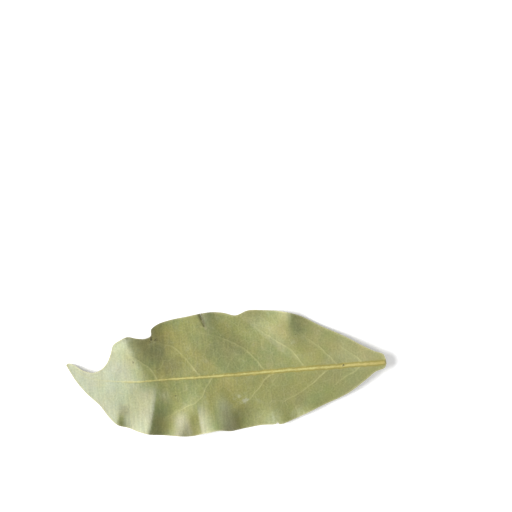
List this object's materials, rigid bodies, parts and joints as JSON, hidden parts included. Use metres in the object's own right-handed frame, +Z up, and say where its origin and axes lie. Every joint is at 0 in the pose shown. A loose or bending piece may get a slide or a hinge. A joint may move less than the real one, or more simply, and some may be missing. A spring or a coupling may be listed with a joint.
{
  "type": "dried bay leaf",
  "caption": "Whole dried bay leaf lying loose, pale underside up, with a raised midrib, side veins and a ruffled margin.",
  "frame": {"origin": "middle of the leaf's box, on the surface that the leaf lies on", "axes": "+X along the midrib from the tip to the broken base, +Y across the blade, +Z up out of the pale underside"},
  "size_m": [0.0852, 0.0324, 0.0087],
  "materials": {
    "dried_leaf": "dry matt leaf with a faint waxy sheen, grey-green with yellow veins"
  },
  "bodies": {
    "root": {"bay_leaf": "dried_leaf"}
  },
  "joints": []
}
